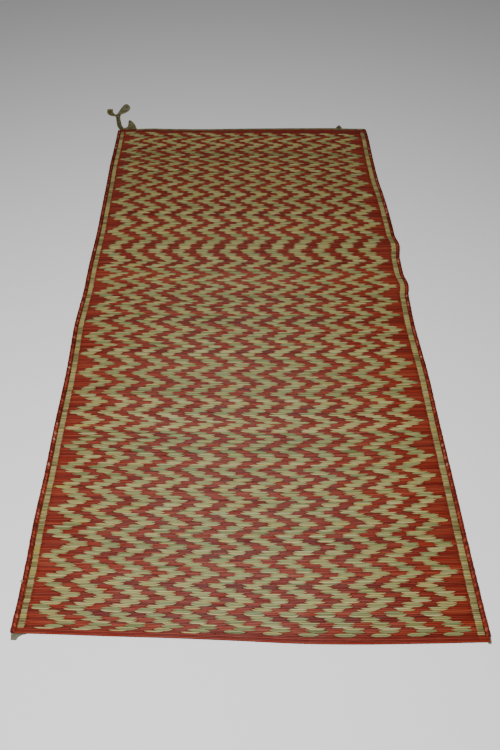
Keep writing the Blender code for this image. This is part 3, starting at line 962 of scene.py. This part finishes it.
def flat_cloth(name, outline, finish):
    """A flat piece of tape of this outline on the floor, filled with small triangles and lightly crumpled."""
    thick, crumple = CLOTHS[name]
    outline = [Vector(p) for p in outline]
    edge = []
    for a, b in zip(outline, outline[1:] + outline[:1]):
        steps = max(1, int((b - a).length / CLOTH_EDGE_STEP))
        edge += [a.lerp(b, i / steps) for i in range(steps)]
    low, high = np.min(outline, axis=0), np.max(outline, axis=0)
    columns, lines = (np.arange(low[i] + 1, high[i], CLOTH_STEP) for i in range(2))
    grid = [Vector((x, y)) for x in columns for y in lines]
    ring = [(i, (i + 1) % len(edge)) for i in range(len(edge))]
    points, _, faces, *_ = geometry.delaunay_2d_cdt(edge + grid, ring, [], 1, 0.01)
    flat = np.array([tuple(p) for p in points])
    bend = np.array([noise.noise(Vector((*p * CRUMPLES, 3.0))) for p in flat])
    raised = rows_of(flat, TAPE_THICK * 0.1 + crumple * (0.5 + 0.5 * bend))
    mesh = mesh_of(name, in_frame(raised), [], [tuple(f) for f in faces])
    unwrap(mesh, flat)
    shaped = bmesh.new()
    shaped.from_mesh(mesh)
    kept = {v for face in shaped.faces for v in face.verts}
    bmesh.ops.delete(shaped, geom=[v for v in shaped.verts if v not in kept], context="VERTS")
    for face in shaped.faces:
        if face.normal.z < 0:
            face.normal_flip()
    shaped.to_mesh(mesh)
    shaped.free()
    mesh.materials.append(finish)
    mesh.shade_smooth()
    return thickened(add(name, mesh, "olive_tape"), thick)


# The weave

def rib_layout(random):
    """Each rib's share of the mat's length, its width, its pattern's shift, and its way from either end."""
    widths = random.uniform(1 - RIB_UNEVEN, 1 + RIB_UNEVEN, RIBS)
    widths *= MAT_LENGTH / widths.sum()
    along = (np.cumsum(widths) - widths / 2) / MAT_LENGTH
    near, far = near_y(0)[0], far_y(0)[0]
    y = near + along * (far - near)
    turns = [(place, number % 2 * TURN_BLOCKS) for number, place in enumerate(TURNS)]
    place, blocks = np.transpose(sorted([*turns, *SLOW_TURN]))
    shift = np.floor(np.interp(y, place, blocks) + 0.5)
    return along, widths, shift, y - near, far - y


def crossings(shift, random):
    """Where each rib's red and natural stems change places, in mm from the panel's left side."""
    starts = LEFT_STRIPE + LEFT_MARGIN + BLOCK * (shift[:, None] + REPEAT * np.arange(BANDS))
    turns = np.stack([starts, starts + 2 * BLOCK], 2).reshape(RIBS, -1)
    turns += random.normal(0, RAGGED, turns.shape).clip(-2 * RAGGED, 2 * RAGGED)
    left, right = random.normal(0, STRIPE_RAGGED, (RIBS, 2)).T
    return rows_of(0.0, LEFT_STRIPE + left, turns, PANEL_WIDTH - RIGHT_STRIPE + right, PANEL_WIDTH)


def placed_floats(places, along):
    """The middle, length, heading and slope of the floats between neighbouring places on each rib."""
    shares = places / PANEL_WIDTH
    x, y = panel_point(shares.ravel(), np.repeat(along, places.shape[1]))
    z = lift(x, y) + PANEL_THICK / 2
    points = np.stack([x, y, z], 1).reshape(*places.shape, 3)
    run = np.diff(points, axis=1)
    length = np.linalg.norm(run, axis=2)
    heading = np.arctan2(run[..., 1], run[..., 0])
    slope = np.arcsin(run[..., 2] / length)
    return (points[:, 1:] + points[:, :-1]) / 2, length, heading, slope


def turns_of(heading, slope, under, mirrored):
    """The turn of each float: on the face or, where it is under, the back; its ends' step may be mirrored."""
    turned = under != mirrored
    roll = np.where(under & mirrored, math.pi, 0.0)
    pitch = np.where(under & ~mirrored, math.pi - slope, np.where(turned & ~under, slope, -slope))
    return np.stack([roll, pitch, heading + np.where(mirrored & ~under, math.pi, 0.0)], -1)


def painted_sheen(x, y):
    """How much painted sheen, a pale painted reflection of the light, the stems have at a point: most down
    the middle and towards the mat's near end, but less at that end itself."""
    share = ease((SHEEN_FROM - y) / SHEEN_LENGTH) * ease(SHEEN_LEAST + (y - near_y(x)) / SHEEN_EDGE)
    return wave(x, SHEEN_X, SHEEN_HALF) * share


def float_points(name, middle, size, turn, tone):
    """A mesh of points that carry each float's size, turn, tone and painted sheen."""
    mesh = bpy.data.meshes.new(name)
    mesh.vertices.add(len(middle))
    mesh.vertices.foreach_set("co", in_frame(middle).ravel())
    values = {"size": size, "turn": turn, "tone": tone, "painted_sheen": painted_sheen(middle[:, 0], middle[:, 1])}
    for label, column in values.items():
        kind, field = ("FLOAT_VECTOR", "vector") if np.ndim(column) == 2 else ("FLOAT", "value")
        layer = mesh.attributes.new(label, kind, "POINT")
        layer.data.foreach_set(field, np.ascontiguousarray(column, float).ravel())
    return mesh


def woven_stems(group, natural, red, pale):
    """The panel's red and natural stems, near half and far half, and the pale ones of the two stripes."""
    random = np.random.default_rng(SEED)
    along, widths, shift, from_near, from_far = rib_layout(random)
    places = crossings(shift, random)
    share = (places[:, 1:] + places[:, :-1]) / 2 / PANEL_WIDTH
    near_band, far_band = (np.interp(share, *np.transpose(band)) for band in (NEAR_BAND, FAR_BAND))
    plain = (from_near[:, None] < near_band) | (from_far[:, None] < far_band)
    middle, length, heading, slope = placed_floats(places, along)
    mirrored_rib = random.random(RIBS) < 0.5
    order = np.arange(length.shape[1])
    on_face = order % 2 == 0
    in_stripe = (order == 0) | (order == order[-1])
    first_of_bundle = (np.arange(RIBS) % BUNDLE == 0)[:, None]
    near = (np.arange(RIBS) < RIBS // 2)[:, None]
    made = []
    for label, finish, natural_one in (("natural", natural, True), ("red", red, False)):
        stem_tone = random.uniform(*STEM_TONES, RIBS)
        spread = np.where(in_stripe, STRIPE_FLOAT_TONES, FLOAT_TONES)
        float_tone = random.normal(0, 1, length.shape) * spread
        bundle_tone = np.repeat(random.uniform(*BUNDLE_TONES, RIBS // BUNDLE + 1), BUNDLE)[:RIBS]
        tone = (np.where(in_stripe, bundle_tone[:, None], stem_tone[:, None]) + float_tone).clip(0, 1)
        under = np.broadcast_to(on_face != natural_one, length.shape)
        mirrored = np.broadcast_to((mirrored_rib == natural_one)[:, None], length.shape)
        turn = turns_of(heading, slope, under, mirrored)
        wide = widths[:, None] * np.where(in_stripe & first_of_bundle, BUNDLE_FIRST, PLUMP[label])
        size = np.stack([length * OVERLAP, wide, np.full(length.shape, PANEL_THICK)], -1) * MM
        striped = in_stripe & natural_one
        parts = [
            (f"stems_{label}_near", near & ~plain & ~striped, {"Finish": finish, **STEM}),
            (f"stems_{label}_far", ~near & ~plain & ~striped, {"Finish": finish, **STEM}),
            ("stems_stripes", ~plain & striped, {"Finish": pale, **STRIPE_STEM}),
        ]
        for name, keep, values in parts:
            if keep.any():
                mesh = float_points(name + "_points", middle[keep], size[keep], turn[keep], tone[keep])
                made.append(grow(name, mesh, group, "woven_grass", **values))
    made.append(end_bands(group, red, plain, places, along, widths, random))
    return made


def end_bands(group, red, plain, places, along, widths, random):
    """The plain red bands at the two ends, face and back, with their ends under the plaits."""
    places = places.copy()
    places[:, 0] -= BAND_TUCK
    places[:, -1] += BAND_TUCK
    middle, length, heading, slope = placed_floats(places, along)
    stem_tone = random.uniform(*BAND_TONES, (RIBS, 1))
    tone = (stem_tone + random.normal(0, BAND_FLOAT_TONES, length.shape)).clip(0, 1)
    wide = np.broadcast_to(widths[:, None] * BAND_PLUMP, length.shape)
    size = np.stack([length * BAND_OVERLAP, wide, np.full(length.shape, PANEL_THICK)], -1) * MM
    faces = [turns_of(heading, slope, np.full(length.shape, under), np.False_) for under in (False, True)]
    stacked = [np.concatenate([values[plain]] * 2) for values in (middle, size, tone)]
    turn = np.concatenate([face[plain] for face in faces])
    mesh = float_points("end_bands_points", stacked[0], stacked[1], turn, stacked[2])
    return grow("stems_end_bands", mesh, group, "woven_grass", Finish=red, **BAND_STEM)


def ground_sheet(finish):
    """The thin layer that the stems are woven round, at the middle of the panel's thickness, dark as painted
    shade.
    """
    across, along = np.meshgrid(*(np.linspace(0, 1, steps) for steps in GROUND_STEPS))
    x, y = panel_point(across.ravel(), along.ravel())
    points = in_frame(np.stack([x, y, lift(x, y) + (PANEL_THICK - GROUND_THICK) / 2], 1))
    columns, rows = GROUND_STEPS
    corners = np.arange(columns * rows).reshape(rows, columns)
    faces = np.stack([corners[:-1, :-1], corners[:-1, 1:], corners[1:, 1:], corners[1:, :-1]], -1)
    mesh = mesh_of("ground_layer", points, [], faces.reshape(-1, 4).tolist())
    mesh.materials.append(finish)
    mesh.shade_smooth()
    return thickened(add("ground_layer", mesh, "woven_grass"), GROUND_THICK)


def panel_lines(places, ends, steps, height):
    """Lines along the panel at these places, in mm from its left side, and this high above its underside."""
    along = np.linspace(*ends, steps)
    lines = []
    for place in places:
        x, y = panel_point(np.full_like(along, place / PANEL_WIDTH), along)
        lines.append(in_frame(np.stack([x, y, lift(x, y) + height], 1)))
    return lines


def warp_threads(group, finish):
    """The cotton threads between the face and the back, one at each block's side."""
    blocks = LEFT_STRIPE + LEFT_MARGIN + BLOCK * np.arange(REPEAT * BANDS + 2)
    places = [LEFT_STRIPE, *blocks, PANEL_WIDTH - RIGHT_STRIPE]
    lines = panel_lines(places, WARP_ENDS, WARP_STEPS, PANEL_THICK / 2 + WARP_RAISED)
    mesh = line_mesh("warp_lines", lines)
    return grow("warp_threads", mesh, group, "woven_grass", Radius=WARP_RADIUS * MM, Finish=finish)


def stripe_stitches(beads, finish):
    """The pale thread that runs over the stems along the inner side of each natural stripe."""
    places = (LEFT_STRIPE, PANEL_WIDTH - RIGHT_STRIPE)
    lines = panel_lines(places, STITCH_ENDS, STITCH_STEPS, PANEL_THICK - STITCH_SUNK)
    mesh = line_mesh("stitch_lines", lines)
    return grow("stripe_stitches", mesh, beads, "woven_grass", Finish=finish, **STITCH)


# The side edges

def side_line(x_of, inwards, inset, height, near_short):
    """A line along a side, this far in from the outline and this high above the mat's underside."""
    corner = x_of(np.array([0.0])) + inwards * inset
    y = np.linspace(near_y(corner)[0] + near_short, far_y(corner)[0], SIDE_STEPS)
    x = x_of(y) + inwards * inset
    return np.stack([x, y, lift(x, y) + height], 1)


def plaited_edge(side, x_of, inwards, near_short, inner, beads, finishes):
    """A side's plait: its bed, a row of bright lobes along its middle and a darker strand on either side."""
    core, dark = finishes
    bed_line = side_line(x_of, inwards, EDGE_WIDTH / 2, BED_HEIGHT, near_short)
    bed_rows = rows_of(bed_line, EDGE_WIDTH - BED_NARROWER, BED_THICK)
    # The bed's darker red shows between the lobes as painted shade
    bed = tape(f"{side}_plait_bed", bed_rows, dark, "plaited_edge")
    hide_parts(side)
    pieces = [bed]
    for number, (bright, inset, height, pitch, size, lean, sides, seed) in enumerate(STRANDS, 1):
        line = side_line(x_of, inwards, inset or inner, height, near_short + size[1] / 2)[:-1]
        mesh = line_mesh(side + "_line", [in_frame(line)])
        pieces.append(grow(
            f"{side}_plait_strand_{number}", mesh, beads, "plaited_edge", Pitch=pitch * MM,
            Size=tuple(s * MM for s in size), Slant=lean * SLANT * inwards, Uneven=UNEVEN,
            Seed=seed + (inwards > 0), Sides=sides, Rings=LOBE_RINGS, Finish=core if bright else dark,
        ))
    return pieces


def loose_tip(stems, finish):
    """The end of a natural stem that has come out over the left plait."""
    x, y, z, *size = LOOSE_TIP
    size = np.array([size]) * MM
    turn = np.array([LOOSE_TIP_TURN])
    point = float_points("loose_tip_point", np.array([[x, y, z]]), size, turn, [LOOSE_TIP_TONE])
    return grow("loose_tip", point, stems, "plaited_edge", Finish=finish, **STRIPE_STEM)


# The tapes and the tie

def ragged(x):
    """A slow unevenness along an end."""
    return np.array([noise.noise(Vector((v * RAGGED_RATE, 1.0, 0.0))) for v in x])


def through(points, steps):
    """This many rows of the smooth curve through the given ones."""
    return smooth(rows_of(np.arange(len(points)), points), np.linspace(0, len(points) - 1, steps))


def far_hem(*finishes):
    """The far tape's fold over the panel's end, and at the left corner the red stems' ends, bound over it."""
    strips = []
    for (name, ends, past), finish in zip(FAR_HEM, finishes):
        x = np.linspace(*ends, int((ends[1] - ends[0]) / FAR_HEM_STEP) + 2)
        y = far_y(x) + past - FAR_HEM_WIDTH / 2 + FAR_HEM_RAGGED * ragged(x)
        strips.append(tape(name, rows_of(x, y, FAR_HEM_HEIGHT, FAR_HEM_WIDTH, TAPE_THICK), finish))
    return joined("far_hem", strips)


def end_tapes(far_finish, finish):
    """The tapes under the two ends, with the near tape's loose ends at the corners."""
    x = np.linspace(*FAR_TAPE_ENDS, TAPE_STEPS)
    y = far_y(x) + FAR_TAPE_PAST - TAPE_WIDTH / 2 + FAR_TAPE_RAGGED * ragged(x)
    far_tape = tape("far_tape", rows_of(x, y, *UNDER_END), far_finish)
    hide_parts("tape_far")
    x = np.linspace(*NEAR_TAPE_ENDS, TAPE_STEPS)
    y = near_y(x) + NEAR_TAPE_INSIDE + TAPE_WIDTH / 2
    near_tape = tape("near_tape", rows_of(x, y, *UNDER_END), finish)
    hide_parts("tape_near")
    tab = flat_cloth("near_tab", NEAR_TAB, finish)
    from_tip, width, thick = np.transpose(NEAR_FOLD)
    x = right_x(near_y(MAT_WIDTH / 2))[0] - EDGE_WIDTH / 2
    y = near_y(x)[0] - NEAR_FOLD_PAST + from_tip
    fold = tape("near_fold", rows_of(x, y, thick.max() / 2, width, thick), finish)
    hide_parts("tape_end_near")
    return [far_tape, near_tape, tab, fold]


def far_tab(finish):
    """The other tie's tab, sewn over the far end."""
    past_end = np.linspace(FAR_TAB[0][0], FAR_TAB[-1][0], FAR_TAB_STEPS)
    x = FAR_TAB_X + FAR_TAB_LEAN * np.linspace(-0.5, 0.5, FAR_TAB_STEPS)
    made = tape("far_tab", rows_of(x, far_y(FAR_TAB_X)[0] + past_end, smooth(FAR_TAB, past_end)), finish)
    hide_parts("tab_far")
    return made


def tie_rows():
    """The tie's rows from the far tape to the knot, round the loop, and out to the cut end."""
    x, _, width, thick = STALK[0]
    root = (x, far_y(x + width / 2)[0] + FAR_TAPE_PAST + 2 * GAP, width, thick)
    stalk = [root, *STALK, *square_to_knot(STALK_END[0], -1, *STALK_END[1:])]
    (left, *left_size), (right, *right_size) = LOOP_ENDS
    up, down = square_to_knot(left, 1, *left_size)[::-1], square_to_knot(right, 1, *right_size)
    loop = [*up, *LOOP_TAPE, *down]
    reach = KNOT_SIZE[0] / 2 + GAP
    cut = [*[(*by_knot(-reach - further, 0), *CUT_END_START) for further in (0, SQUARE_RUN)], *CUT_END]
    return stalk, loop, cut


def joined(name, pieces):
    """One mesh piece out of several, each with its own finish."""
    built = bmesh.new()
    mesh = bpy.data.meshes.new(name)
    for number, piece in enumerate(pieces):
        first = len(built.faces)
        built.from_mesh(piece.data)
        built.faces.ensure_lookup_table()
        for face in built.faces[first:]:
            face.material_index = number
        mesh.materials.append(piece.data.materials[0])
        bpy.data.objects.remove(piece, do_unlink=True)
    built.to_mesh(mesh)
    built.free()
    return add(name, mesh, "olive_tape")


def knot_lump(finish):
    """The knot's lump: a ball pressed to the knot's size, with a flat underside."""
    count, rings = LUMP_SEGMENTS
    turn, fall = np.meshgrid(np.arange(count) * 2 * math.pi / count, np.arange(1, rings) * math.pi / rings)
    ball = np.stack([np.sin(fall) * np.cos(turn), np.sin(fall) * np.sin(turn), np.cos(fall)], -1)
    ball = ball.reshape(-1, 3)
    across, forward, up = (np.array([*ball, (0, 0, 1), (0, 0, -1)]) / 2 * KNOT_SIZE * LUMP_SHARE).T
    height = np.maximum(up, LUMP_FLOOR * KNOT_SIZE[2]) + LUMP_RAISED * KNOT_SIZE[2]
    top, bottom = len(ball), len(ball) + 1
    caps = []
    for i in range(count):
        j = (i + 1) % count
        caps += [(top, i, j), (bottom, len(ball) - count + j, len(ball) - count + i)]
    points = in_frame(rows_of(*by_knot(across, forward), height))
    mesh = mesh_of("knot_lump", points, [], [*ring_faces(rings - 1, count), *caps])
    unwrap(mesh, rows_of(across, forward))
    mesh.shade_smooth()
    mesh.materials.append(finish)
    return add("knot_lump", mesh, "olive_tape")


def knot_wrap(finish):
    """The knot: a rounded lump of tape under two bands of it that cross over."""
    pieces = [knot_lump(finish)]
    for name, bends, width in KNOT_BANDS:
        across, forward, up = np.transpose(bends)
        rows = through(rows_of(*by_knot(across, forward), up), KNOT_BAND_STEPS)
        pieces.append(tape(name, rows_of(rows, width, KNOT_BAND_THICK), finish))
    made = joined("knot_wrap", pieces)
    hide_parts("tie_knot")
    return made


def tie(plain, faded, end, inner, shaded):
    """The tie at the far-left corner: its tape as one cord, its knot and its sewn corner."""
    stalk, loop, cut = (along_rows(table, TIE_STEP) for table in tie_rows())
    stretches = [
        tape("tie_stalk_tape", stalk, plain),
        tape("tie_loop_tape", loop, faded),
        tape("tie_cut_tape", cut, end),
    ]
    low, high = ((*KNOT_AT, KNOT_SIZE[2] * share) for share in KNOT_PASSES)
    for number, (before, middle, after) in enumerate(((stalk, low, loop), (loop, high, cut)), 1):
        passing = [(*p, *IN_KNOT) for p in (before[-1, :3], middle, after[0, :3])]
        stretches.append(tape(f"tie_in_knot_{number}", through(passing, IN_KNOT_STEPS), shaded))
    # The loop's inside: a dark sheet of painted shade under the loop's tape
    inside = flat_cloth("loop_inside", [row[:2] for row in LOOP_TAPE], inner)
    cord = joined("tie_tape", stretches)
    knot = knot_wrap(shaded)
    base_x = np.linspace(FLAP[-1][0], FLAP[0][0], FLAP_BASE_STEPS)
    base = zip(base_x, far_y(base_x) + FAR_TAPE_PAST + 2 * GAP)
    flap = flat_cloth("tie_flap_cloth", [*FLAP, *base], plain)
    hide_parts("tie_flap")
    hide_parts("tie_stalk", "tie_loop", "tie_end")


# The studio

def camera():
    """The photograph's view, from the near end and looking down."""
    lens = bpy.data.cameras.new("camera")
    lens.sensor_fit = "AUTO"
    lens.sensor_width = SENSOR
    lens.lens = FOCAL_LENGTH / PICTURE_HEIGHT * SENSOR
    lens.shift_x, lens.shift_y = (shift / PICTURE_HEIGHT for shift in CAMERA_SHIFT)
    made = add("camera", lens)
    made.location = in_frame(CAMERA_PLACE)
    made.rotation_euler = (math.radians(90 - CAMERA_DOWN), 0.0, math.radians(CAMERA_TURN))
    bpy.context.scene.camera = made


def studio(finish):
    """A pale floor, a soft key light near the camera and an even surround."""
    corners = [(x * FLOOR_REACH, y * FLOOR_REACH, 0) for x, y in ((-1, -1), (1, -1), (1, 1), (-1, 1))]
    mesh = mesh_of("floor", corners, [], [(0, 1, 2, 3)])
    mesh.materials.append(finish)
    add("floor", mesh)
    light = bpy.data.lights.new("key", "AREA")
    light.size = KEY_SIZE
    light.energy = KEY_WATTS
    key = add("key", light)
    key.location = KEY_PLACE
    key.rotation_euler = (Vector(KEY_TARGET) - Vector(KEY_PLACE)).to_track_quat("-Z", "Y").to_euler()
    world = bpy.data.worlds.new("surround")
    world.use_nodes = True
    background = world.node_tree.nodes["Background"]
    background.inputs["Color"].default_value = (1.0, 1.0, 1.0, 1.0)
    background.inputs["Strength"].default_value = SURROUND
    bpy.context.scene.world = world


def build():
    camera()
    olive, faded, end, inside, shaded, greyed = (tape_finish(*row) for row in TAPES)
    tie(olive, faded, end, inside, shaded)
    stems, beads, threads = stem_group(), bead_group(), thread_group()
    natural, red, pale = (stem_finish(*row) for row in STEMS)
    plaits = [plait_finish(*row) for row in PLAITS]
    cotton, pale_thread, inner, floor = (plain_finish(*row) for row in PLAINS)
    right_short = NEAR_FOLD[-1][0] - NEAR_FOLD_PAST + GAP
    pieces = [
        *woven_stems(stems, natural, red, pale),
        warp_threads(threads, cotton),
        *plaited_edge("edge_left", left_x, 1, 0.0, LEFT_INNER, beads, plaits),
        *plaited_edge("edge_right", right_x, -1, right_short, RIGHT_INNER, beads, plaits),
        stripe_stitches(beads, pale_thread),
        loose_tip(stems, pale),
        *end_tapes(olive, greyed),
        far_hem(olive, red),
        far_tab(olive),
    ]
    ground = ground_sheet(inner)
    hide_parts("mat")
    studio(floor)


build()
